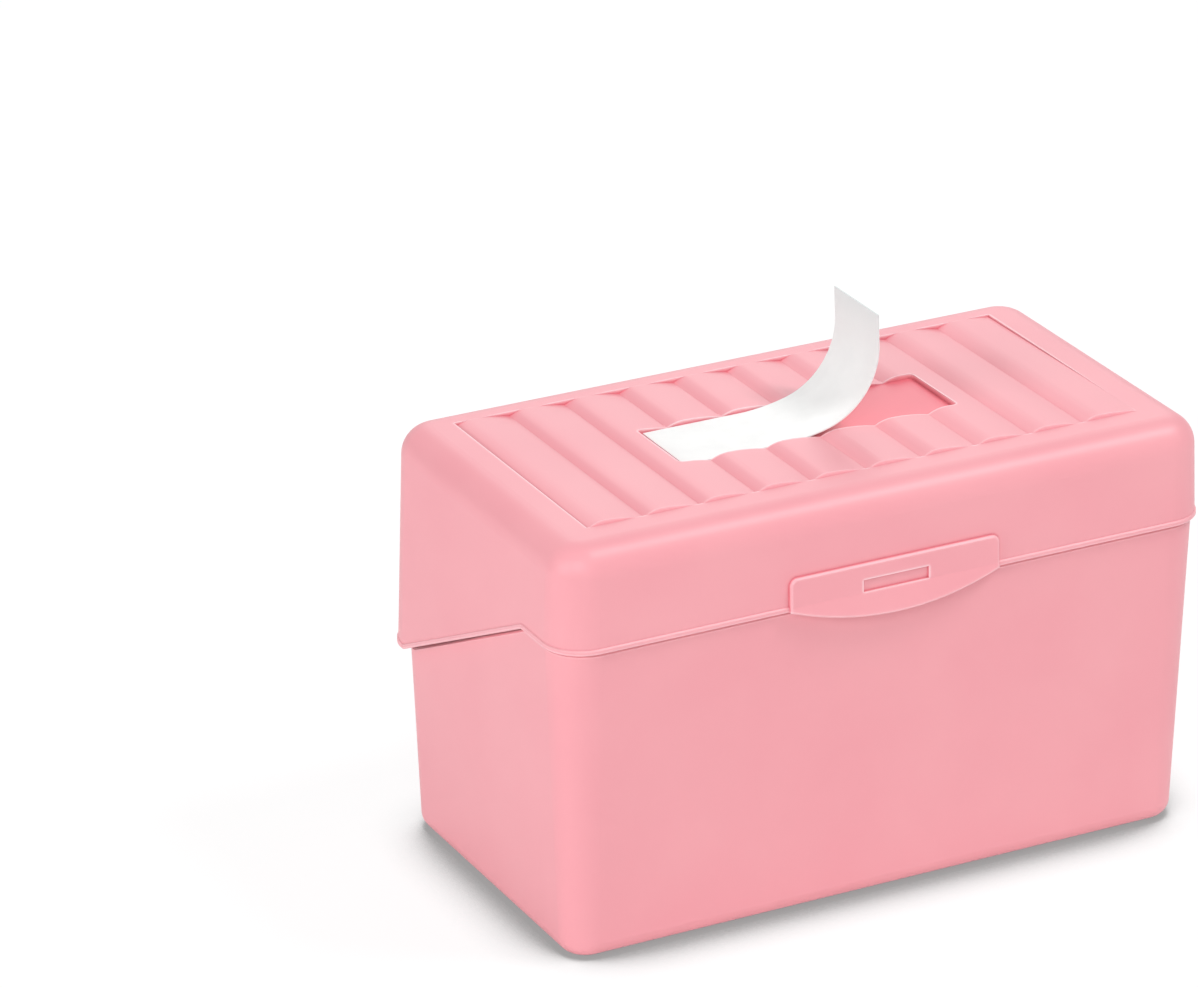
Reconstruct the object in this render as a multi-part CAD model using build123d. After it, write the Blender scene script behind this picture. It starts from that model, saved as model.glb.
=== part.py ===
from build123d import *
import os
from math import cos, hypot, radians, sin, sqrt, tan

# Index card box with a hinged lid, for a stack of 127 x 76 mm cards standing on edge.
# Millimetres, +Z up, X along the length, the catch on the -Y side and the hinge on the +Y side.
# The origin is on the resting plane, under the middle of the box.

# Lid moulding, measured at its lower edge along the front
OVERALL_HEIGHT = 86.3
LID_LENGTH = 141.2
LID_DEPTH = 76.1
LID_CORNER_R = 8.0
LID_DRAFT = 2.0
LID_WALL = 1.5
LID_EDGE_R = 6.0
TOP_WALL = 1.8
BEAD_HEIGHT = 1.1
BEAD_PROUD = 0.25
BEAD_BEVEL = 0.2

# Body moulding, measured at the shoulder along the front
BODY_SETBACK = 0.55
BODY_CORNER_R = 8.0
BODY_DRAFT = 2.1
BODY_WALL = 2.2
FLOOR_WALL = 2.0
FLOOR_INNER_BEVEL = 2.0
FOOT_ROUND = 3.5
FOOT_LAND = 5.0
FOOT_RECESS = 0.8
TIGHTEST_CORNER_R = 1.5
SHOULDER_BEVEL = 0.4

# Parting line: level at the front, a slope along each side, level again at the back
PARTING_FRONT = 65.5
PARTING_BACK = 40.6
FRONT_LEVEL = 17.1
BACK_LEVEL = 8.4
PARTING_BEND_R = 2.5
PARTING_GAP = 0.3

# Rim of the body that stands up inside the lid
RIM_HEIGHT = 1.2
RIM_INSET = 0.9
SWING_CLEARANCE = 0.3

# Ribbed field on top of the lid
RIB_COUNT = 10
RIB_PITCH = 11.95
RIB_CREST = 0.33
RIB_CREST_X = 3.8
RIB_VALLEY = 0.62
LAST_RIB_DROP = 0.2
RIB_END_DRAFT = 35.0
FIELD_FRONT_BORDER = 11.0
FIELD_BACK_BORDER = 8.6
FIELD_TILT = 0.56

# Label recess and the slip of card that belongs in it
RECESS_LENGTH = 61.0
RECESS_WIDTH = 18.0
RECESS_DEPTH = 0.8
RECESS_CORNER_R = 1.0
RECESS_Y = 0.4
TRAY_WALL = 1.5
TRAY_MARGIN = 1.2
LABEL_THICKNESS = 0.3
LABEL_SIDE_PLAY = 0.4
LABEL_END_PLAY = 1.2
LABEL_FLAT = 20.8
LABEL_LIFT_R = 40.0
LABEL_LIFT_ANGLE = 15.0
LABEL_CURL_R = 15.2
LABEL_CURL_ANGLE = 77.0
LABEL_TIP = 6.3

# Catch panel on the lid and its thumb lip
PANEL_LENGTH = 45.5
PANEL_RISE = 6.8
PANEL_PROUD = 0.85
PANEL_CORNER_R = 1.6
PANEL_EDGE_BEVEL = 0.3
LIP_KNEE = 1.0
LIP_DROP = 3.9
LIP_WALL = 1.3
WINDOW_LENGTH = 14.3
WINDOW_HEIGHT = 2.5
WINDOW_RISE = 1.1
WINDOW_DEPTH = 0.55

# Catch bump on the body, under the thumb lip
BUMP_LENGTH = 16.0
BUMP_HEIGHT = 2.0
BUMP_PROUD = 0.45
BUMP_BELOW_EDGE = 1.7

# Two knuckle hinges at the back
HINGE_SPACING = 80.0
HINGE_RISE = 0.1
OPEN_ANGLE = 110.0
KNUCKLE_R = 1.9
BODY_KNUCKLE_WIDTH = 5.0
LID_KNUCKLE_WIDTH = 6.0
KNUCKLE_END_GAP = 0.3
KNUCKLE_CLEARANCE = 0.4
PIN_R = 0.9
PIN_TIGHT = 0.01
PIN_RUNNING = 0.05
HEEL_GAP = 0.3

# Worked out from the sizes above
LID_LEAN = tan(radians(LID_DRAFT))
BODY_LEAN = tan(radians(BODY_DRAFT))
BODY_LENGTH = LID_LENGTH - 2 * BODY_SETBACK
BODY_DEPTH = LID_DEPTH - 2 * BODY_SETBACK
LID_FRONT_Y = -LID_DEPTH / 2
BODY_FRONT_Y = -BODY_DEPTH / 2
SLOPE_START_Y = LID_FRONT_Y + FRONT_LEVEL
SLOPE_END_Y = -LID_FRONT_Y - BACK_LEVEL
HINGE_Y = LID_DEPTH / 2 + (PARTING_FRONT - PARTING_BACK) * LID_LEAN
HINGE_Z = PARTING_BACK + HINGE_RISE
SHOULDER_FRONT = PARTING_FRONT - PARTING_GAP
CAVITY_FLOOR = FOOT_RECESS + FLOOR_WALL
PANEL_TOP = PARTING_FRONT + PANEL_RISE
FIELD_LENGTH = RIB_COUNT * RIB_PITCH
FIELD_FRONT = LID_FRONT_Y + FIELD_FRONT_BORDER
FIELD_BACK = -LID_FRONT_Y - FIELD_BACK_BORDER
FAR = 2 * LID_LENGTH


def lid_block(inset, low, high):
    """The lid's drafted block between two heights, drawn in by inset from its outer face."""
    grow = (PARTING_FRONT - low) * LID_LEAN - inset
    outline = RectangleRounded(LID_LENGTH + 2 * grow, LID_DEPTH + 2 * grow, LID_CORNER_R + grow)
    return extrude(Pos(0, 0, low) * outline, amount=high - low, taper=LID_DRAFT)


def body_block(inset, low, high):
    """The body's drafted block between two heights, drawn in by inset from its outer face."""
    grow = (low - SHOULDER_FRONT) * BODY_LEAN - inset
    corner = max(BODY_CORNER_R + grow, TIGHTEST_CORNER_R)
    outline = RectangleRounded(BODY_LENGTH + 2 * grow, BODY_DEPTH + 2 * grow, corner)
    return extrude(Pos(0, 0, low) * outline, amount=high - low, taper=-BODY_DRAFT)


def above_parting(lift):
    """Everything above the stepped parting line raised by lift, as one long block along X."""
    line = FilletPolyline(
        (-FAR, PARTING_FRONT + lift),
        (SLOPE_START_Y, PARTING_FRONT + lift),
        (SLOPE_END_Y, PARTING_BACK + lift),
        (FAR, PARTING_BACK + lift),
        radius=PARTING_BEND_R,
    )
    rest = Polyline(line @ 1, (FAR, FAR), (-FAR, FAR), line @ 0)
    return extrude(Plane.YZ * make_face(line + rest), amount=FAR, both=True)


def body_face_y(z):
    """Y of the body's outer front face at a height."""
    return BODY_FRONT_Y - (z - SHOULDER_FRONT) * BODY_LEAN


def lid_face_y(z):
    """Y of the lid's outer front face at a height."""
    return LID_FRONT_Y + (z - PARTING_FRONT) * LID_LEAN


def swing_setback(height):
    """How far back the lid's inner front edge has swung when it has risen by height."""
    reach = HINGE_Y - LID_FRONT_Y - LID_WALL
    rise = PARTING_FRONT - HINGE_Z
    radius = hypot(reach, rise)
    return reach - sqrt(radius**2 - (rise + height) ** 2)


def lip_inner_y(z):
    """Y of the thumb lip's inner face, which just clears the body's shoulder as it swings up."""
    shoulder = hypot(HINGE_Y - BODY_FRONT_Y, SHOULDER_FRONT - HINGE_Z)
    return HINGE_Y - sqrt((shoulder + SWING_CLEARANCE) ** 2 - (z - HINGE_Z) ** 2)


def bar(radius, start, length):
    """A cylinder along X on the hinge axis, from start."""
    return Pos(start, HINGE_Y, HINGE_Z) * Rot(0, 90, 0) * Cylinder(
        radius, length, align=(Align.CENTER, Align.CENTER, Align.MIN)
    )


def block(x0, x1, y0, y1, z0, z1):
    """A plain box between two corners."""
    return Pos(x0, y0, z0) * Box(x1 - x0, y1 - y0, z1 - z0, align=(Align.MIN,) * 3)


def hinge_centres():
    """X of the middle of each hinge, left then right."""
    return (-HINGE_SPACING / 2, HINGE_SPACING / 2)


def body_knuckle_starts(centre):
    """Where the two body knuckles of one hinge begin."""
    inner = LID_KNUCKLE_WIDTH / 2 + KNUCKLE_END_GAP
    return (centre - inner - BODY_KNUCKLE_WIDTH, centre + inner)


# ---- Body ---------------------------------------------------------------------------------


def body_rim():
    """The low rim inside the lid; its front leans back to clear the swinging skirt."""
    top = PARTING_FRONT + RIM_HEIGHT
    straight = body_block(RIM_INSET, CAVITY_FLOOR, top)
    foot = lid_outline(SHOULDER_FRONT, 0)
    head = lid_outline(top, swing_setback(RIM_HEIGHT + PARTING_GAP))
    leaning = loft([foot, head])
    below = lid_block(LID_WALL + SWING_CLEARANCE, 0, SHOULDER_FRONT)
    return straight & (leaning + below)


def lid_outline(z, setback):
    """The lid's inner outline with running room, at a height, moved back by setback."""
    grow = (PARTING_FRONT - z) * LID_LEAN - LID_WALL - SWING_CLEARANCE
    outline = RectangleRounded(LID_LENGTH + 2 * grow, LID_DEPTH + 2 * grow, LID_CORNER_R + grow)
    return Pos(0, setback, z) * outline


def body_knuckles():
    """Both pairs of body knuckles with the webs that carry them on the back wall."""
    wall_y = -body_face_y(HINGE_Z) - BODY_WALL / 2
    knuckles = []
    for centre in hinge_centres():
        for start in body_knuckle_starts(centre):
            end = start + BODY_KNUCKLE_WIDTH
            web = block(start, end, wall_y, HINGE_Y, HINGE_Z - KNUCKLE_R, HINGE_Z - PARTING_GAP)
            knuckles.append(bar(KNUCKLE_R, start, BODY_KNUCKLE_WIDTH) + web)
    return knuckles


def wall_edges(block, facing):
    """The edges where a drafted block's upright walls meet its faces that face up (1) or down (-1)."""
    steepest = sin(radians(2 * max(LID_DRAFT, BODY_DRAFT)))
    walls = block.faces().filter_by(lambda face: abs(face.normal_at().Z) < steepest).edges()
    cuts = block.faces().filter_by(lambda face: facing * face.normal_at().Z > cos(radians(45)))
    return cuts.edges().filter_by(lambda edge: any(edge.is_same(wall) for wall in walls))


def catch_bump():
    """The low ridge on the front wall that the thumb lip snaps over."""
    middle = SHOULDER_FRONT - BUMP_BELOW_EDGE
    low = middle - BUMP_HEIGHT / 2
    high = middle + BUMP_HEIGHT / 2
    root = BODY_WALL / 2
    ridge = Polyline(
        (body_face_y(low) + root, low),
        (body_face_y(low), low),
        (body_face_y(middle) - BUMP_PROUD, middle),
        (body_face_y(high), high),
        (body_face_y(high) + root, high),
        close=True,
    )
    return extrude(Plane.YZ * make_face(ridge), amount=BUMP_LENGTH / 2, both=True)


def make_box_body():
    """The open box: drafted walls, bevelled shoulder, rim, rounded foot and hinge knuckles."""
    top = PARTING_FRONT + RIM_HEIGHT
    outer = body_block(0, 0, top)
    outer = fillet(outer.faces().sort_by(Axis.Z)[0].edges(), FOOT_ROUND)
    outer -= above_parting(-PARTING_GAP)
    outer = chamfer(wall_edges(outer, 1), SHOULDER_BEVEL)
    rim = body_rim() - above_parting(RIM_HEIGHT)
    body = outer + rim
    for knuckle in body_knuckles():
        body += knuckle
    body += catch_bump()
    cavity = body_block(BODY_WALL, CAVITY_FLOOR, top + RIM_HEIGHT)
    cavity = chamfer(cavity.faces().sort_by(Axis.Z)[0].edges(), FLOOR_INNER_BEVEL)
    body -= cavity
    body -= body_block(FOOT_ROUND + FOOT_LAND, -FOOT_RECESS, FOOT_RECESS)
    for centre in hinge_centres():
        span = LID_KNUCKLE_WIDTH + 2 * KNUCKLE_END_GAP + 2 * BODY_KNUCKLE_WIDTH
        body -= bar(PIN_R + PIN_TIGHT, centre - span / 2, span)
    return body


# ---- Lid ----------------------------------------------------------------------------------


def lid_bead():
    """The bead round the lid's lower edge, with both its outer edges bevelled."""
    bead = lid_block(-BEAD_PROUD, PARTING_BACK - LID_WALL, PARTING_FRONT + 2 * BEAD_HEIGHT)
    bead = (bead & above_parting(0)) - above_parting(BEAD_HEIGHT)
    return chamfer(wall_edges(bead, 1) + wall_edges(bead, -1), BEAD_BEVEL)


def lid_shell():
    """The lid's skirt and flat top, cut along the parting line and beaded there."""
    low = PARTING_BACK - LID_WALL
    outer = lid_block(0, low, OVERALL_HEIGHT)
    outer = fillet(outer.faces().sort_by(Axis.Z)[-1].edges(), LID_EDGE_R)
    outer = (outer & above_parting(0)) + lid_bead()
    cavity = lid_block(LID_WALL, low - LID_WALL, OVERALL_HEIGHT - TOP_WALL)
    cavity = fillet(cavity.faces().sort_by(Axis.Z)[-1].edges(), LID_EDGE_R - LID_WALL)
    return outer - cavity


def rib_line(drop):
    """The wave of the ribs across the field: a short steep flank, then a long low crown."""
    line = []
    base = OVERALL_HEIGHT - drop
    for rib in range(RIB_COUNT):
        left = rib * RIB_PITCH - FIELD_LENGTH / 2
        crest = Vector(left + RIB_CREST_X, base + RIB_CREST)
        foot = Vector(left, base - RIB_VALLEY)
        depth = LAST_RIB_DROP if rib == RIB_COUNT - 1 else RIB_VALLEY
        end = Vector(left + RIB_PITCH, base - depth)
        line.append(ThreePointArc(foot, beside_crest(crest, foot), crest))
        line.append(ThreePointArc(crest, beside_crest(crest, end), end))
    return line


def beside_crest(crest, low):
    """The middle of the arc that leaves the crest level and comes down to a low point."""
    run, fall = abs(low.X - crest.X), crest.Y - low.Y
    radius = (run**2 + fall**2) / (2 * fall)
    sag = radius - sqrt(radius**2 - run**2 / 4)
    return Vector((crest.X + low.X) / 2, crest.Y - sag)


def field_room(low):
    """The room that the ribbed field fills, with sloping front ends for the ribs."""
    high = OVERALL_HEIGHT + TOP_WALL
    section = Polyline(
        (FIELD_FRONT, low),
        (FIELD_FRONT, OVERALL_HEIGHT),
        (FIELD_FRONT + TOP_WALL * tan(radians(RIB_END_DRAFT)), high),
        (FIELD_BACK, high),
        (FIELD_BACK, low),
        close=True,
    )
    return extrude(Plane.YZ * make_face(section), amount=FIELD_LENGTH / 2, both=True)


def ribbed_sheet():
    """The ribbed part of the top, an even sheet whose underside follows the ribs."""
    upper = rib_line(0)
    lower = rib_line(TOP_WALL)
    ends = [Line(upper[0] @ 0, lower[0] @ 0), Line(upper[-1] @ 1, lower[-1] @ 1)]
    section = make_face(upper + lower + ends)
    width = FIELD_BACK - FIELD_FRONT
    middle = Vector(0, (FIELD_FRONT + FIELD_BACK) / 2, OVERALL_HEIGHT)
    sheet = Pos(0, middle.Y + width, 0) * extrude(Plane.XZ * section, amount=2 * width)
    sheet = sheet.rotate(Axis(middle, (-1, 0, 0)), FIELD_TILT)
    return sheet & field_room(OVERALL_HEIGHT - 2 * TOP_WALL)


def label_tray():
    """The sunk tray under the label, a little larger than the recess."""
    length = RECESS_LENGTH + 2 * TRAY_MARGIN
    width = RECESS_WIDTH + 2 * TRAY_MARGIN
    low = OVERALL_HEIGHT - RECESS_DEPTH - TRAY_WALL
    high = OVERALL_HEIGHT - RIB_VALLEY
    outline = RectangleRounded(length, width, RECESS_CORNER_R + TRAY_MARGIN)
    return extrude(Pos(0, RECESS_Y, low) * outline, amount=high - low)


def label_recess():
    """The room of the label recess, open upwards."""
    outline = RectangleRounded(RECESS_LENGTH, RECESS_WIDTH, RECESS_CORNER_R)
    floor = OVERALL_HEIGHT - RECESS_DEPTH
    return extrude(Pos(0, RECESS_Y, floor) * outline, amount=2 * RIB_CREST + RECESS_DEPTH)


def panel_outline():
    """The catch panel seen from the front: square shoulders above, a shallow bow below."""
    half = PANEL_LENGTH / 2
    sides = Polyline(
        (-half, PARTING_FRONT),
        (-half, PANEL_TOP),
        (half, PANEL_TOP),
        (half, PARTING_FRONT),
    )
    bow = ThreePointArc((half, PARTING_FRONT), (0, PARTING_FRONT - LIP_DROP), (-half, PARTING_FRONT))
    face = make_face(sides + bow)
    top_corners = face.vertices().sort_by(Axis.Y)[-2:]
    return fillet(top_corners, PANEL_CORNER_R)


def panel_section():
    """The catch panel cut through its middle: parallel to the skirt, then flared at the lip."""
    low = PARTING_FRONT - LIP_DROP - PARTING_GAP
    knee = PARTING_FRONT + LIP_KNEE
    high = PANEL_TOP + PANEL_PROUD
    outline = Polyline(
        (lid_face_y(high) - PANEL_PROUD, high),
        (lid_face_y(knee) - PANEL_PROUD, knee),
        (lip_inner_y(low) - LIP_WALL, low),
        (lip_inner_y(low), low),
        (lip_inner_y(PARTING_FRONT), PARTING_FRONT),
        (lip_inner_y(PARTING_FRONT), knee),
        (lid_face_y(high) + LID_WALL / 2, high),
        close=True,
    )
    return make_face(outline)


def catch_panel():
    """The raised panel and thumb lip, with the shallow window in its face."""
    depth = extrude(Plane.YZ * panel_section(), amount=PANEL_LENGTH, both=True)
    front = extrude(Plane.XZ * panel_outline(), amount=LID_DEPTH)
    panel = depth & front
    return chamfer(outer_edges(panel), PANEL_EDGE_BEVEL)


def outer_edges(panel):
    """The edges round the panel's outward faces, without the crease between those faces."""
    faces = panel.faces().filter_by(lambda face: face.normal_at().Y < -cos(radians(45)))
    faces = faces.filter_by(lambda face: face.center().Y < lip_inner_y(face.center().Z) - LIP_WALL / 2)
    edges = ShapeList(edge for face in faces for edge in face.edges())
    return edges.filter_by(lambda edge: sum(edge.is_same(other) for other in edges) == 1)


def catch_window():
    """The room of the shallow window in the catch panel."""
    low = PARTING_FRONT + WINDOW_RISE
    face_y = lid_face_y(low) - PANEL_PROUD
    half = WINDOW_LENGTH / 2
    return block(-half, half, face_y - WINDOW_DEPTH, face_y + WINDOW_DEPTH, low, low + WINDOW_HEIGHT)


def lid_knuckle(centre):
    """One lid knuckle, its web up to the skirt and the heel that stops the lid when open."""
    start = centre - LID_KNUCKLE_WIDTH / 2
    end = start + LID_KNUCKLE_WIDTH
    web = block(start, end, HINGE_Y - LID_WALL, HINGE_Y, HINGE_Z, HINGE_Z + 2 * KNUCKLE_R)
    wall_y = -body_face_y(HINGE_Z)
    heel = block(start, end, wall_y + HEEL_GAP, HINGE_Y, HINGE_Z - KNUCKLE_R, HINGE_Z)
    axis = Axis((0, HINGE_Y, HINGE_Z), (1, 0, 0))
    return bar(KNUCKLE_R, start, LID_KNUCKLE_WIDTH) + web + heel.rotate(axis, OPEN_ANGLE)


def knuckle_notches():
    """Room in the skirt for the body knuckles."""
    room = KNUCKLE_R + KNUCKLE_CLEARANCE
    notches = []
    for centre in hinge_centres():
        for start in body_knuckle_starts(centre):
            x0 = start - KNUCKLE_END_GAP
            x1 = start + BODY_KNUCKLE_WIDTH + KNUCKLE_END_GAP
            notches.append(block(x0, x1, HINGE_Y - room, HINGE_Y + room, HINGE_Z - room, HINGE_Z + room))
    return notches


def make_lid():
    """The whole lid moulding."""
    lid = lid_shell() - field_room(OVERALL_HEIGHT - 2 * TOP_WALL)
    lid = lid + ribbed_sheet() + label_tray() - label_recess()
    lid = lid + catch_panel() - catch_window()
    for notch in knuckle_notches():
        lid -= notch
    for centre in hinge_centres():
        lid += lid_knuckle(centre)
    for centre in hinge_centres():
        lid -= bar(PIN_R + PIN_RUNNING, centre - LID_KNUCKLE_WIDTH, 2 * LID_KNUCKLE_WIDTH)
    return lid


# ---- Small pieces -------------------------------------------------------------------------


def make_hinge_pin(centre):
    """One plain hinge pin, as long as its three knuckles."""
    span = LID_KNUCKLE_WIDTH + 2 * KNUCKLE_END_GAP + 2 * BODY_KNUCKLE_WIDTH
    return bar(PIN_R, centre - span / 2, span)


def make_name_label():
    """The slip of card: flat at its left end, then curling up to stand on its right end."""
    left = LABEL_END_PLAY - RECESS_LENGTH / 2
    under = OVERALL_HEIGHT - RECESS_DEPTH
    flat = Line((left, under), (left + LABEL_FLAT, under))
    lift = tangent_arc(flat @ 1, 0, LABEL_LIFT_ANGLE, LABEL_LIFT_R)
    curl = tangent_arc(lift @ 1, LABEL_LIFT_ANGLE, LABEL_CURL_ANGLE, LABEL_CURL_R)
    heading = radians(LABEL_LIFT_ANGLE + LABEL_CURL_ANGLE)
    tip_start = curl @ 1
    tip = Line(tip_start, tip_start + Vector(cos(heading), sin(heading)) * LABEL_TIP)
    print("label length", round(flat.length + lift.length + curl.length + tip.length, 2))
    return strip([flat, lift, curl, tip])


def tangent_arc(start, heading, turn, radius):
    """An arc to the left from start, along heading, turning by turn degrees."""
    a = radians(heading)
    b = radians(heading + turn)
    centre = start + Vector(-sin(a), cos(a)) * radius
    middle = centre + Vector(sin((a + b) / 2), -cos((a + b) / 2)) * radius
    end = centre + Vector(sin(b), -cos(b)) * radius
    return ThreePointArc(start, middle, end)


def strip(path):
    """The card's thickness on the upper side of the path, as wide as the recess allows."""
    width = RECESS_WIDTH - 2 * LABEL_SIDE_PLAY
    upper = [piece_above(edge) for edge in path]
    ends = [Line(path[0] @ 0, upper[0] @ 0), Line(path[-1] @ 1, upper[-1] @ 1)]
    card = extrude(Plane.XZ * make_face(path + upper + ends), amount=width)
    return Pos(0, RECESS_Y + width / 2, 0) * card


def piece_above(edge):
    """The same line or arc, one card thickness to its left."""
    points = [edge @ t + left_of(edge % t) * LABEL_THICKNESS for t in (0, 0.5, 1)]
    if edge.geom_type == GeomType.LINE:
        return Line(points[0], points[2])
    return ThreePointArc(*points)


def left_of(direction):
    """The unit vector at a right angle to the left of a direction in the sketch plane."""
    return Vector(-direction.Y, direction.X)


os.makedirs("parts", exist_ok=True)
LEFT_X, RIGHT_X = hinge_centres()
export_step(make_box_body(), "parts/box_body.step")
export_step(make_lid(), "parts/lid.step")
export_step(make_hinge_pin(LEFT_X), "parts/hinge_pin_left.step")
export_step(make_hinge_pin(RIGHT_X), "parts/hinge_pin_right.step")
export_step(make_name_label(), "parts/name_label.step")
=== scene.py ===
"""Looks of the index card box: moulded finishes, the curled name label, and the studio round it.

Every length is in metres unless its name says otherwise. +Z is up, +X runs along the box and the
catch faces -Y. The origin is on the resting plane, under the middle of the box.
"""
import logging
import math
from dataclasses import dataclass, field
from enum import Enum
from typing import Any, Sequence

import bpy
import numpy as np
from mathutils import Matrix, Vector


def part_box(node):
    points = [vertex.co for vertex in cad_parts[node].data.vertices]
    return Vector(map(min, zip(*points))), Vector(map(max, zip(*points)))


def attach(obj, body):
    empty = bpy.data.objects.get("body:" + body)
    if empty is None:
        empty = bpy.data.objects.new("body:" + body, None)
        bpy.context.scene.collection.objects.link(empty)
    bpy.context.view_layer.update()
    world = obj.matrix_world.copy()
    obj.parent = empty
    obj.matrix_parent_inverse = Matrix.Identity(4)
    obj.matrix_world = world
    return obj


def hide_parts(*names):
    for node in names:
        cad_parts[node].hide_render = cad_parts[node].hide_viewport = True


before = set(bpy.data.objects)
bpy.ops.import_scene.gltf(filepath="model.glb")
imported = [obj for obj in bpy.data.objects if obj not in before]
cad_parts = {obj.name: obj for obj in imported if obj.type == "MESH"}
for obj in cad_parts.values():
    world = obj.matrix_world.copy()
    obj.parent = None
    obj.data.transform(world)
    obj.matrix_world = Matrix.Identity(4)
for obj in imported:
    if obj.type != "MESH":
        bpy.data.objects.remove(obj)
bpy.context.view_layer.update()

MM = 0.001
PHOTO_WIDTH = 1198
PHOTO_HEIGHT = 988

# The Mix node has a set of sockets for each kind of data; these number its colour sockets.
MIX_GROUND = 6
MIX_TOP = 7
MIX_RESULT = 2

Tree = bpy.types.NodeTree
Socket = bpy.types.NodeSocket
Triple = tuple[float, float, float]

logging.basicConfig(level=logging.INFO, format="%(message)s")
log = logging.getLogger("card_box")


class Body(Enum):
    """The two rigid bodies that pieces ride on."""

    BOX = "body"
    LID = "lid"


# ---- Colour and nodes ---------------------------------------------------------------------


def linear(hex_colour: str) -> tuple[float, float, float, float]:
    """Turn an sRGB hex colour into linear RGBA.

    Each share v becomes v / 12.92 up to 0.04045, and ((v + 0.055) / 1.055) ** 2.4 above it.

    Args:
        hex_colour: Six hex digits after a hash, such as "#F4A7AF".

    Returns:
        Linear red, green and blue, and an alpha of one.
    """
    parts = np.array([int(hex_colour[i : i + 2], 16) for i in (1, 3, 5)]) / 255
    low = parts / 12.92
    high = ((parts + 0.055) / 1.055) ** 2.4
    red, green, blue = np.where(parts <= 0.04045, low, high)
    return float(red), float(green), float(blue), 1.0


def add_node(
    tree: Tree,
    kind: str,
    settings: dict[str, Any] | None = None,
    inputs: dict[str | int, Any] | None = None,
) -> bpy.types.Node:
    """Add one shader node, set it up and link it.

    Args:
        tree: The node tree that gets the node.
        kind: Blender's type name for the node.
        settings: Properties of the node, by name.
        inputs: Input sockets by name or number; a socket as value is linked, anything else is set.

    Returns:
        The new node.
    """
    node = tree.nodes.new(kind)
    for name, value in (settings or {}).items():
        setattr(node, name, value)
    for key, value in (inputs or {}).items():
        if isinstance(value, Socket):
            tree.links.new(value, node.inputs[key])
        else:
            node.inputs[key].default_value = value
    return node


def colour_ramp(tree: Tree, factor: Socket, stops: Sequence[tuple[float, str]]) -> Socket:
    """Add a colour ramp with the given stops.

    Args:
        tree: The node tree.
        factor: The socket that drives the ramp.
        stops: Pairs of position and sRGB hex colour, in order.

    Returns:
        The socket with the colour.
    """
    node = add_node(tree, "ShaderNodeValToRGB", inputs={"Fac": factor})
    ramp = node.color_ramp
    while len(ramp.elements) < len(stops):
        ramp.elements.new(0.5)  # its own position is set below
    for element, (position, colour) in zip(ramp.elements, stops):
        element.position = position
        element.color = linear(colour)
    return node.outputs["Color"]


def maths(tree: Tree, operation: str, first: Any, second: Any, clamp: bool = False) -> Socket:
    """Join two sockets or numbers by one arithmetic step.

    Args:
        tree: The node tree.
        operation: Blender's name for the step.
        first: The first socket or number.
        second: The second socket or number.
        clamp: Whether the result is held between zero and one.

    Returns:
        The result's socket.
    """
    settings = {"operation": operation, "use_clamp": clamp}
    return add_node(tree, "ShaderNodeMath", settings, {0: first, 1: second}).outputs[0]


def span(
    tree: Tree,
    value: Socket,
    source: tuple[float, float],
    target: tuple[float, float] = (0.0, 1.0),
    smooth: bool = False,
) -> Socket:
    """Carry a value from one span to another, held at both ends.

    Args:
        tree: The node tree.
        value: The socket with the value.
        source: The values that become the target's start and end; they may fall.
        target: The start and end of the result.
        smooth: Whether the change eases in and out.

    Returns:
        The result's socket.
    """
    settings = {"interpolation_type": "SMOOTHSTEP" if smooth else "LINEAR"}
    inputs = {"Value": value, "From Min": source[0], "From Max": source[1]}
    inputs |= {"To Min": target[0], "To Max": target[1]}
    return add_node(tree, "ShaderNodeMapRange", settings, inputs).outputs["Result"]


def noise(
    tree: Tree,
    where: Socket,
    size_mm: float,
    detail: float,
    distortion: float = 0.0,
) -> Socket:
    """Give a soft random pattern.

    Args:
        tree: The node tree.
        where: The coordinates.
        size_mm: How large its features are.
        detail: How many finer octaves are added.
        distortion: How much it is swirled.

    Returns:
        The pattern's socket.
    """
    inputs = {"Vector": where, "Scale": 1 / (size_mm * MM)}
    inputs |= {"Detail": detail, "Distortion": distortion}
    return add_node(tree, "ShaderNodeTexNoise", inputs=inputs).outputs["Fac"]


def blend(tree: Tree, factor: Socket, ground: Socket, colour: str) -> Socket:
    """Lay a colour over the ground where the factor rises.

    Args:
        tree: The node tree.
        factor: Zero for the ground, one for the colour.
        ground: The colour underneath.
        colour: The sRGB hex colour on top.

    Returns:
        The mixed colour's socket.
    """
    inputs = {"Factor": factor, MIX_GROUND: ground, MIX_TOP: linear(colour)}
    return add_node(tree, "ShaderNodeMix", {"data_type": "RGBA"}, inputs).outputs[MIX_RESULT]


def room(tree: Tree, where: Socket, low: Triple, high: Triple, soft: float) -> Socket:
    """Give one inside a box and zero outside, with a soft border.

    Each axis rises over the border at its low side and falls over it at its high side; the six
    shares are multiplied.

    Args:
        tree: The node tree.
        where: The object coordinates.
        low: The box's lowest corner.
        high: The box's highest corner.
        soft: The border's width.

    Returns:
        The socket with the share.
    """
    axes = add_node(tree, "ShaderNodeSeparateXYZ", inputs={"Vector": where})
    share = None
    for axis, start, end in zip("XYZ", low, high):
        for border in ((start - soft, start), (end + soft, end)):
            rise = span(tree, axes.outputs[axis], border, smooth=True)
            share = rise if share is None else maths(tree, "MULTIPLY", share, rise)
    return share


def seen_ray(tree: Tree) -> Socket:
    """Give one where the camera, a reflection or a clear piece looks, and zero elsewhere.

    Args:
        tree: The node tree that gets the nodes.

    Returns:
        The socket with the sum, held to one.
    """
    path = add_node(tree, "ShaderNodeLightPath").outputs
    first = maths(tree, "ADD", path["Is Camera Ray"], path["Is Glossy Ray"])
    return maths(tree, "ADD", first, path["Is Transmission Ray"], clamp=True)


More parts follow.
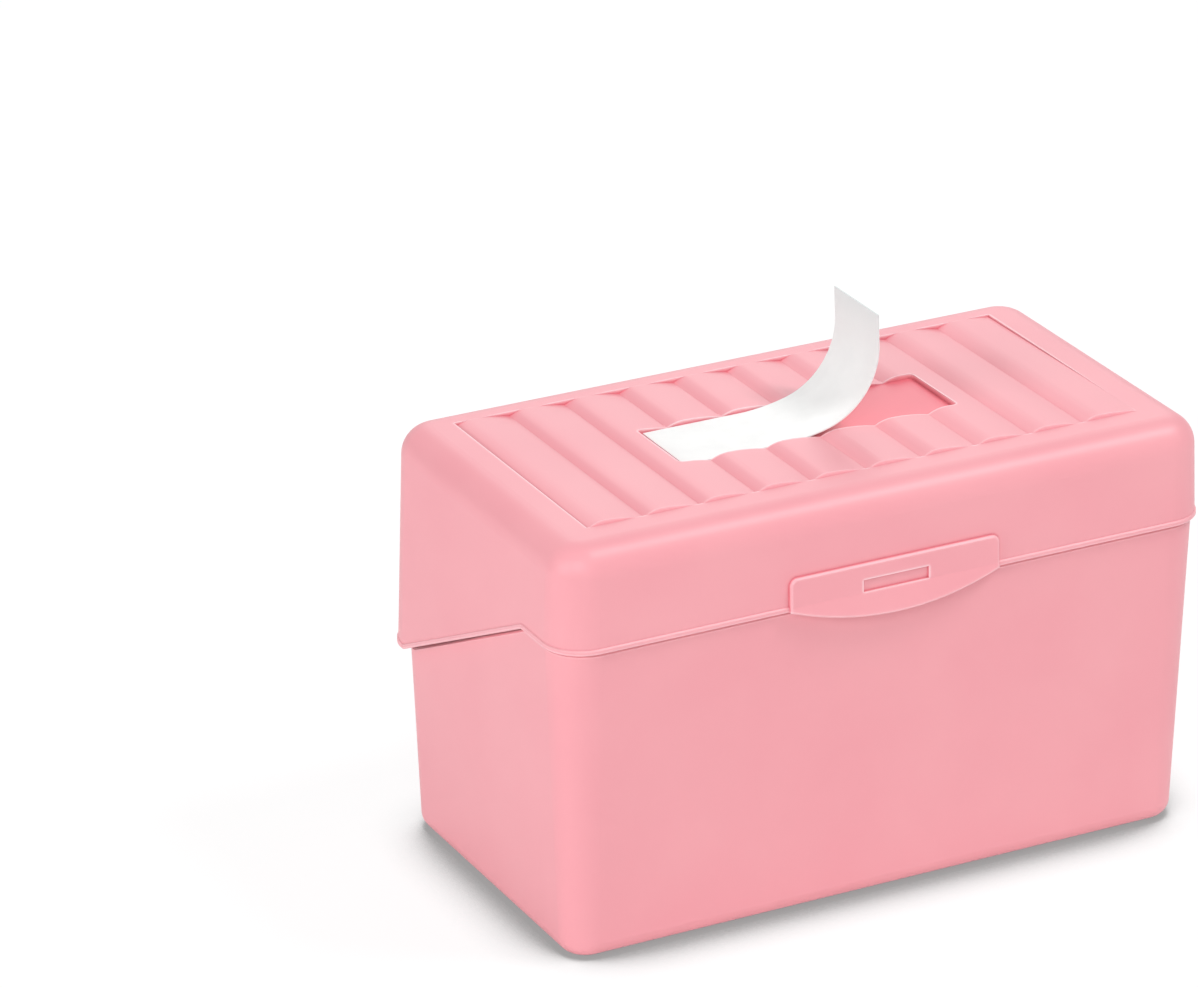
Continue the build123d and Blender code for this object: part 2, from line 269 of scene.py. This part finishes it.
def empty_material(name: str) -> tuple[bpy.types.Material, Tree, bpy.types.Node, Socket]:
    """Make a material with one Principled shader joined to its output.

    Args:
        name: The material's name.

    Returns:
        The material, its node tree, the shader node and the socket with object coordinates.
    """
    material = bpy.data.materials.new(name)
    material.use_nodes = True
    tree = material.node_tree
    tree.nodes.clear()
    shader = add_node(tree, "ShaderNodeBsdfPrincipled")
    add_node(tree, "ShaderNodeOutputMaterial", inputs={"Surface": shader.outputs["BSDF"]})
    where = add_node(tree, "ShaderNodeTexCoord").outputs["Object"]
    return material, tree, shader, where


# ---- Finishes -----------------------------------------------------------------------------


@dataclass(frozen=True)
class MouldedPolypropylene:
    """Satin injection-moulded polypropylene.

    A spark-eroded mould leaves a very fine grain, which blurs reflections into soft bands. Outer
    edges get a paler pink as a painted highlight; inner corners, the steeper rib flanks and the
    recess floor under the label get a darker pink as painted shade.
    """

    name: str = "moulded_polypropylene_pink"
    colour: str = "#F0A0A9"
    paler: str = "#F2A5AD"
    # Painted highlight: the paler pink laid on outer edges.
    edge: str = "#FFDDE2"
    # Painted shade: the darker pink laid in inner corners.
    crease_shade: str = "#E07A87"
    # Painted shade: the darker pink laid on the steeper rib flanks.
    flank: str = "#EC9AA3"
    # Painted shade: the darker pink laid on the recess floor under the label.
    seat_shade: str = "#F07C89"
    roughness: float = 0.42
    roughness_spread: float = 0.03
    ior: float = 1.49
    grain_mm: float = 0.45
    grain_detail: float = 3.0
    grain_depth_mm: float = 0.004
    flow_mm: float = 28.0
    flow_detail: float = 2.0
    flow_distortion: float = 0.4
    flow_stops: tuple[float, float] = (0.3, 0.7)
    edge_mm: float = 0.55
    crease_mm: float = 0.6
    flat_wall: float = 0.98
    full_edge: float = 0.45
    samples: int = 8
    flank_start: float = -59.55 * MM
    flank_pitch: float = 12.25 * MM
    flank_half: float = 2.1 * MM
    flank_core: float = 0.3
    fade_span: tuple[float, float] = (18.0 * MM, 26.0 * MM)
    fade_rest: float = 0.55
    field_low: Triple = (-54.0 * MM, -26.0 * MM, 84.8 * MM)
    field_high: Triple = (60.0 * MM, 28.6 * MM, 88.0 * MM)
    field_border: float = 1.5 * MM
    seat_low: Triple = (-30.6 * MM, -8.7 * MM, 85.2 * MM)
    seat_high: Triple = (30.6 * MM, 9.5 * MM, 85.56 * MM)
    seat_border: float = 0.05 * MM

    def build(self) -> bpy.types.Material:
        """Build the finish; its grain is a little coarser than the mould's, so that it shows.

        Returns:
            The material.
        """
        material, tree, shader, where = empty_material(self.name)
        flow = noise(tree, where, self.flow_mm, self.flow_detail, self.flow_distortion)
        tint = colour_ramp(tree, flow, tuple(zip(self.flow_stops, (self.colour, self.paler))))
        # Painted shade: the steeper rib flanks are painted darker than the crests.
        flank_shaded = blend(tree, self.rib_flanks(tree, where), tint, self.flank)
        # Painted shade: the recess floor under the label is painted darker.
        recess = room(tree, where, self.seat_low, self.seat_high, self.seat_border)
        seat_shaded = blend(tree, recess, flank_shaded, self.seat_shade)
        # Painted shade: inner corners, where the wall stands close, are painted darker.
        crease_shaded = blend(tree, self.nearness(tree, self.crease_mm, False), seat_shaded, self.crease_shade)
        # Painted highlight: outer edges, where the wall is thin, are painted paler.
        edge_highlighted = blend(tree, self.nearness(tree, self.edge_mm, True), crease_shaded, self.edge)
        grain = noise(tree, where, self.grain_mm, self.grain_detail)
        depth = self.grain_depth_mm * MM
        bump = add_node(tree, "ShaderNodeBump", inputs={"Height": grain, "Distance": depth})
        sheen = (self.roughness - self.roughness_spread, self.roughness + self.roughness_spread)
        shader.inputs["IOR"].default_value = self.ior
        tree.links.new(edge_highlighted, shader.inputs["Base Color"])
        tree.links.new(span(tree, grain, (0.0, 1.0), sheen), shader.inputs["Roughness"])
        tree.links.new(bump.outputs["Normal"], shader.inputs["Normal"])
        return material

    def nearness(self, tree: Tree, reach_mm: float, inside: bool) -> Socket:
        """Tell how near an edge the surface is, from how much of its own wall stands close by.

        Args:
            tree: The node tree.
            reach_mm: How far the edge is felt.
            inside: True for outer edges, felt through the wall; False for inner corners.

        Returns:
            A socket that rises from zero on a flat wall towards one at the edge.
        """
        open_share = add_node(
            tree,
            "ShaderNodeAmbientOcclusion",
            {"inside": inside, "only_local": True, "samples": self.samples},
            {"Distance": reach_mm * MM},
        )
        return span(tree, open_share.outputs["AO"], (self.flat_wall, self.full_edge))

    def rib_flanks(self, tree: Tree, where: Socket) -> Socket:
        """Find the steeper flanks of the ribs, which get a darker pink than the crests as painted
        shade.

        The distance to the nearest flank line is |((x - start) / pitch + 1/2) mod 1 - 1/2| * pitch.
        The share is one over the core of a flank's half width and eases to zero at that half
        width. It weakens over the fade span to its rest share, and is zero outside the rib field.

        Args:
            tree: The node tree.
            where: The object coordinates.

        Returns:
            A socket that is one on a flank line and zero on a crest.
        """
        along = add_node(tree, "ShaderNodeSeparateXYZ", inputs={"Vector": where}).outputs["X"]
        shifted = maths(tree, "ADD", along, -self.flank_start)
        distance = maths(tree, "PINGPONG", shifted, self.flank_pitch / 2)
        core = (self.flank_half, self.flank_core * self.flank_half)
        line = span(tree, distance, core, smooth=True)
        # The painted flank shade weakens along X over the fade span.
        shade_fade = span(tree, along, self.fade_span, (1.0, self.fade_rest))
        inside = room(tree, where, self.field_low, self.field_high, self.field_border)
        return maths(tree, "MULTIPLY", maths(tree, "MULTIPLY", line, shade_fade), inside)


@dataclass(frozen=True)
class LabelCard:
    """Uncoated white card.

    Pressed fibres scatter the light evenly, with a faint tooth and cloudiness and no gloss.
    """

    name: str = "uncoated_white_card"
    colour: str = "#FCFCFB"
    shade: str = "#F8F8F7"
    # Painted shade: the grey laid on the raised curl, stronger higher up.
    turned: str = "#E0E8E7"
    curl_shade_span: tuple[float, float] = (88.5 * MM, 108.5 * MM)
    roughness: float = 0.85
    ior: float = 1.5
    fibre_mm: float = 0.35
    fibre_detail: float = 4.0
    fibre_depth_mm: float = 0.006
    fibre_stretch: Triple = (0.35, 1.0, 1.0)
    cloud_mm: float = 5.0
    cloud_detail: float = 3.0
    cloud_stops: tuple[float, float] = (0.35, 0.6)

    def build(self) -> bpy.types.Material:
        """Build the finish; fibres run along the slip; painted shade greys its raised curl.

        Returns:
            The material.
        """
        material, tree, shader, where = empty_material(self.name)
        along = add_node(
            tree, "ShaderNodeMapping", inputs={"Vector": where, "Scale": self.fibre_stretch}
        ).outputs["Vector"]
        fibres = noise(tree, along, self.fibre_mm, self.fibre_detail)
        clouds = noise(tree, where, self.cloud_mm, self.cloud_detail)
        tint = colour_ramp(tree, clouds, tuple(zip(self.cloud_stops, (self.shade, self.colour))))
        height = add_node(tree, "ShaderNodeSeparateXYZ", inputs={"Vector": where}).outputs["Z"]
        # Painted shade: the card greys over the height span of its curl.
        curl_shaded = blend(tree, span(tree, height, self.curl_shade_span), tint, self.turned)
        depth = self.fibre_depth_mm * MM
        bump = add_node(tree, "ShaderNodeBump", inputs={"Height": fibres, "Distance": depth})
        shader.inputs["IOR"].default_value = self.ior
        shader.inputs["Roughness"].default_value = self.roughness
        tree.links.new(curl_shaded, shader.inputs["Base Color"])
        tree.links.new(bump.outputs["Normal"], shader.inputs["Normal"])
        return material


@dataclass(frozen=True)
class DrawnWire:
    """Bright drawn steel wire.

    Drawing leaves fine lines along the wire, which stretch the highlight across it.
    """

    name: str = "drawn_steel_wire"
    colour: str = "#C4C6C9"
    roughness: float = 0.32
    roughness_spread: float = 0.08
    line_mm: float = 0.06
    line_detail: float = 2.0
    line_stretch: Triple = (0.02, 1.0, 1.0)

    def build(self) -> bpy.types.Material:
        """Build the finish, with draw lines along X, the way the pins lie.

        Returns:
            The material.
        """
        material, tree, shader, where = empty_material(self.name)
        along = add_node(
            tree, "ShaderNodeMapping", inputs={"Vector": where, "Scale": self.line_stretch}
        ).outputs["Vector"]
        lines = noise(tree, along, self.line_mm, self.line_detail)
        sheen = (self.roughness - self.roughness_spread, self.roughness + self.roughness_spread)
        shader.inputs["Base Color"].default_value = linear(self.colour)
        shader.inputs["Metallic"].default_value = 1.0
        tree.links.new(span(tree, lines, (0.0, 1.0), sheen), shader.inputs["Roughness"])
        return material


@dataclass(frozen=True)
class StudioPaper:
    """White paper sweep that the box stands on.

    Matt paper shows plain white, and keeps a soft grey shadow close to the box.
    """

    name: str = "white_paper_sweep"
    colour: str = "#FAFAFA"
    shadow_reach: float = 0.020
    shadow: tuple[tuple[float, str], ...] = (
        (0.50, "#A2A2A2"),
        (0.59, "#D0D0D0"),
        (0.66, "#ECECEC"),
        (0.77, "#F9F9F9"),
        (0.87, "#FFFFFF"),
    )
    samples: int = 16
    lit_share: float = 0.2
    lift: float = 0.84

    def build(self) -> bpy.types.Material:
        """Build the sweep: bounced light meets plain paper, seen rays its shaded and lifted look.

        Returns:
            The material.
        """
        material = bpy.data.materials.new(self.name)
        material.use_nodes = True
        tree = material.node_tree
        tree.nodes.clear()
        open_share = add_node(
            tree,
            "ShaderNodeAmbientOcclusion",
            {"samples": self.samples},
            {"Distance": self.shadow_reach},
        )
        shaded = colour_ramp(tree, open_share.outputs["AO"], self.shadow)
        share = (self.lit_share, self.lit_share, self.lit_share, 1.0)
        dimmed = add_node(
            tree,
            "ShaderNodeMix",
            {"data_type": "RGBA", "blend_type": "MULTIPLY"},
            {"Factor": 1.0, MIX_GROUND: shaded, MIX_TOP: share},
        ).outputs[MIX_RESULT]
        lit = add_node(tree, "ShaderNodeBsdfDiffuse", inputs={"Color": dimmed}).outputs["BSDF"]
        glow = add_node(
            tree, "ShaderNodeEmission", inputs={"Color": shaded, "Strength": self.lift}
        ).outputs["Emission"]
        look = add_node(tree, "ShaderNodeAddShader", inputs={0: lit, 1: glow}).outputs["Shader"]
        paper = add_node(
            tree, "ShaderNodeBsdfDiffuse", inputs={"Color": linear(self.colour)}
        ).outputs["BSDF"]
        both = add_node(
            tree, "ShaderNodeMixShader", inputs={0: seen_ray(tree), 1: paper, 2: look}
        ).outputs["Shader"]
        add_node(tree, "ShaderNodeOutputMaterial", inputs={"Surface": both})
        return material


# ---- Meshes -------------------------------------------------------------------------------


def grid_faces(rows: int, columns: int, offset: int = 0, flip: bool = False) -> np.ndarray:
    """Number the quads of a grid of points, row by row.

    Args:
        rows: How many rows of points the grid has.
        columns: How many points each row has.
        offset: The number of the grid's first point.
        flip: Whether the quads turn the other way round.

    Returns:
        One row of four point numbers for each quad.
    """
    row = np.arange(rows - 1)[:, None] * columns
    column = np.arange(columns - 1)[None, :]
    first = (row + column).ravel() + offset
    quads = np.stack([first, first + 1, first + columns + 1, first + columns], axis=1)
    return quads[:, ::-1] if flip else quads


def mesh_object(
    name: str,
    points: np.ndarray,
    faces: Sequence[np.ndarray],
    smooth_below: float = 30.0,
) -> bpy.types.Object:
    """Put a mesh into the scene at the origin.

    Args:
        name: The piece's name.
        points: One row of X, Y and Z for each point.
        faces: Arrays of point numbers, one row for each face.
        smooth_below: Edges that fold by less than this angle, in degrees, are shaded smooth.

    Returns:
        The new object.
    """
    mesh = bpy.data.meshes.new(name)
    rows = [tuple(int(i) for i in face) for block in faces for face in block]
    mesh.from_pydata(points.tolist(), [], rows)
    mesh.validate()
    mesh.shade_smooth()
    mesh.set_sharp_from_angle(angle=math.radians(smooth_below))
    piece = bpy.data.objects.new(name, mesh)
    bpy.context.scene.collection.objects.link(piece)
    return piece


# ---- The box ------------------------------------------------------------------------------


@dataclass
class Mouldings:
    """The body and the lid, both from the same resin."""

    finish: MouldedPolypropylene = field(default_factory=MouldedPolypropylene)

    def build(self) -> None:
        """Give both mouldings their finish."""
        material = self.finish.build()
        for node in ("box_body", "lid"):
            dress(node, material)


@dataclass
class HingePins:
    """The two wire pins through the knuckles at the back."""

    finish: DrawnWire = field(default_factory=DrawnWire)

    def build(self) -> None:
        """Give both pins their finish."""
        material = self.finish.build()
        for node in ("hinge_pin_left", "hinge_pin_right"):
            dress(node, material)


def dress(node: str, material: bpy.types.Material) -> None:
    """Give a carried-over node its finish.

    Args:
        node: The node's name.
        material: The finish for every slot of it.
    """
    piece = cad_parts[node]
    piece.data.materials.clear()
    piece.data.materials.append(material)
    log.info("%s: %s", node, material.name)


@dataclass
class NameLabel:
    """The slip of card in the lid's recess: flat at its left end, curled up at its right end."""

    flat: float = 20.8 * MM
    lift_radius: float = 40.0 * MM
    lift_angle: float = 15.0
    curl_radius: float = 15.2 * MM
    curl_angle: float = 77.0
    tip: float = 6.3 * MM
    thickness: float = 0.26 * MM
    seat_gap: float = 0.02 * MM
    steps_along: int = 120
    steps_across: int = 24
    smooth_below: float = 40.0
    finish: LabelCard = field(default_factory=LabelCard)

    def line(self, distance: np.ndarray) -> np.ndarray:
        """Follow the slip's underside: a flat stretch, two arcs and a straight tip, all tangent.

        The heading grows by distance / radius on each arc, and the place is the running sum of
        the heading's cosine and sine.

        Args:
            distance: Steps along the slip, from its left end, evenly spaced.

        Returns:
            X, Z and the heading at each step.
        """
        lift = math.radians(self.lift_angle)
        curl = math.radians(self.curl_angle)
        on_lift = np.clip(distance - self.flat, 0, self.lift_radius * lift) / self.lift_radius
        start = self.flat + self.lift_radius * lift
        on_curl = np.clip(distance - start, 0, self.curl_radius * curl) / self.curl_radius
        heading = on_lift + on_curl
        step = np.diff(distance, prepend=distance[0])
        middle = (heading + np.concatenate([heading[:1], heading[:-1]])) / 2
        x = np.cumsum(np.cos(middle) * step)
        z = np.cumsum(np.sin(middle) * step)
        return np.stack([x, z, heading], axis=1)

    def length(self) -> float:
        """Give the slip's flat length."""
        arcs = self.lift_radius * math.radians(self.lift_angle)
        arcs += self.curl_radius * math.radians(self.curl_angle)
        return self.flat + arcs + self.tip

    def build(self) -> bpy.types.Object:
        """Make the slip as a closed shell: an upper and a lower grid, joined at the rim.

        Returns:
            The finished piece.
        """
        low, high = (Vector(corner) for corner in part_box("name_label"))
        distance = np.linspace(0, self.length(), self.steps_along + 1)
        x, z, heading = self.line(distance).T
        y = np.linspace(low.y, high.y, self.steps_across + 1)
        under = np.empty((len(x), len(y), 3))
        under[..., 0] = (low.x + x)[:, None]
        under[..., 1] = y[None, :]
        under[..., 2] = (low.z + self.seat_gap + z)[:, None]
        left = np.stack([-np.sin(heading), np.zeros_like(heading), np.cos(heading)], axis=1)
        upper = under + left[:, None, :] * self.thickness
        points, faces = closed_sheet(upper, under)
        piece = mesh_object("name_label_slip", points, faces, self.smooth_below)
        piece.data.materials.append(self.finish.build())
        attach(piece, Body.LID.value)
        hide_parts("name_label")
        width = float(high.y - low.y)
        self.length()
        log.info("name_label_slip: flat size %.1f x %.1f mm", self.length() / MM, width / MM)
        return piece


def closed_sheet(upper: np.ndarray, under: np.ndarray) -> tuple[np.ndarray, list[np.ndarray]]:
    """Join two grids of the same size into a closed shell.

    Args:
        upper: The upper grid's points, rows along, columns across.
        under: The lower grid's points.

    Returns:
        The points and the blocks of faces, turned outwards.
    """
    rows, columns = upper.shape[:2]
    count = rows * columns
    numbers = np.arange(count).reshape(rows, columns)
    rim = np.concatenate([numbers[0, :-1], numbers[:-1, -1], numbers[-1, :0:-1], numbers[:0:-1, 0]])
    after = np.roll(rim, -1)
    edge = np.stack([rim, after, after + count, rim + count], axis=1)
    points = np.concatenate([upper.reshape(-1, 3), under.reshape(-1, 3)])
    faces = [
        grid_faces(rows, columns, flip=True),
        grid_faces(rows, columns, offset=count),
        edge,
    ]
    return points, faces


# ---- The studio ---------------------------------------------------------------------------


@dataclass
class Camera:
    """The photograph's camera: where it stands round the box, and how its frame is shifted."""

    azimuth: float = -27.6455
    elevation: float = 24.9241
    roll: float = -0.1257
    distance: float = 1216.24 * MM
    target_height: float = 50.0 * MM
    aside: float = -24.873 * MM
    upward: float = -9.596 * MM
    focal_px: float = 6212.93
    centre_px: tuple[float, float] = (670.49, 639.20)
    sensor_mm: float = 36.0
    clip_end: float = 20.0

    def build(self) -> None:
        """Place the camera; its shift puts the optical centre where the photograph has it."""
        azimuth = math.radians(self.azimuth)
        elevation = math.radians(self.elevation)
        roll = math.radians(self.roll)
        back = Vector(
            (
                math.sin(azimuth) * math.cos(elevation),
                -math.cos(azimuth) * math.cos(elevation),
                math.sin(elevation),
            )
        )
        right = Vector((math.cos(azimuth), math.sin(azimuth), 0))
        up = back.cross(right)
        place = Vector((0, 0, self.target_height)) + back * self.distance
        place = place + right * self.aside + up * self.upward
        turned = right * math.cos(roll) + up * math.sin(roll)
        raised = up * math.cos(roll) - right * math.sin(roll)
        data = bpy.data.cameras.new("camera")
        data.sensor_fit = "HORIZONTAL"
        data.sensor_width = self.sensor_mm
        data.lens = self.focal_px / PHOTO_WIDTH * self.sensor_mm
        data.shift_x = (PHOTO_WIDTH / 2 - self.centre_px[0]) / PHOTO_WIDTH
        data.shift_y = (self.centre_px[1] - PHOTO_HEIGHT / 2) / PHOTO_WIDTH
        data.clip_end = self.clip_end
        camera = bpy.data.objects.new("camera", data)
        turn = Matrix((turned, raised, back)).transposed().to_4x4()
        camera.matrix_world = Matrix.Translation(place) @ turn
        bpy.context.scene.collection.objects.link(camera)
        bpy.context.scene.camera = camera


@dataclass(frozen=True)
class Lamp:
    """One soft box: where it stands, how large it is and how strong."""

    name: str
    place: tuple[float, float, float]
    aim: tuple[float, float, float]
    size: float
    watts: float

    def build(self) -> None:
        """Put the soft box up, facing its aim."""
        data = bpy.data.lights.new(self.name, "AREA")
        data.shape = "DISK"
        data.size = self.size
        data.energy = self.watts
        lamp = bpy.data.objects.new(self.name, data)
        away = Vector(self.place) - Vector(self.aim)
        turn = away.to_track_quat("Z", "Y").to_matrix().to_4x4()
        lamp.matrix_world = Matrix.Translation(Vector(self.place)) @ turn
        bpy.context.scene.collection.objects.link(lamp)


@dataclass
class Studio:
    """White sweep, an even white surround and soft boxes."""

    floor_half: float = 4.0
    surround: float = 0.49
    paper: StudioPaper = field(default_factory=StudioPaper)
    lamps: tuple[Lamp, ...] = (
        Lamp("key_soft_box", (-0.80, -1.20, 0.95), (0.0, 0.0, 0.04), 0.9, 8.0),
        Lamp("back_soft_box", (0.70, 1.30, 0.85), (0.0, 0.0, 0.06), 1.2, 4.6),
        Lamp("left_soft_box", (-1.35, -0.25, 0.55), (0.0, 0.0, 0.04), 0.7, 5.9),
        Lamp("high_soft_box", (0.62, -0.42, 1.20), (0.0, 0.0, 0.06), 0.4, 7.2),
    )

    def build(self) -> None:
        """Build the floor, the surround and the lamps."""
        half = self.floor_half
        corners = np.array([[-half, -half, 0], [half, -half, 0], [half, half, 0], [-half, half, 0]])
        floor = mesh_object("paper_sweep", corners, [np.array([[0, 1, 2, 3]])])
        floor.data.materials.append(self.paper.build())
        self.surround_world()
        for lamp in self.lamps:
            lamp.build()
        bpy.context.scene.view_settings.view_transform = "Standard"

    def surround_world(self) -> None:
        """Light the box evenly, and show white to the camera and to reflections."""
        world = bpy.data.worlds.new("white_surround")
        world.use_nodes = True
        tree = world.node_tree
        tree.nodes.clear()
        strength = span(tree, seen_ray(tree), (0.0, 1.0), (self.surround, 1.0))
        light = add_node(tree, "ShaderNodeBackground", inputs={"Strength": strength})
        add_node(tree, "ShaderNodeOutputWorld", inputs={"Surface": light.outputs["Background"]})
        bpy.context.scene.world = world


def main() -> None:
    """Build the studio and dress the box, piece by piece."""
    Camera().build()
    Studio().build()
    Mouldings().build()
    HingePins().build()
    NameLabel().build()


if __name__ == "__main__":
    main()
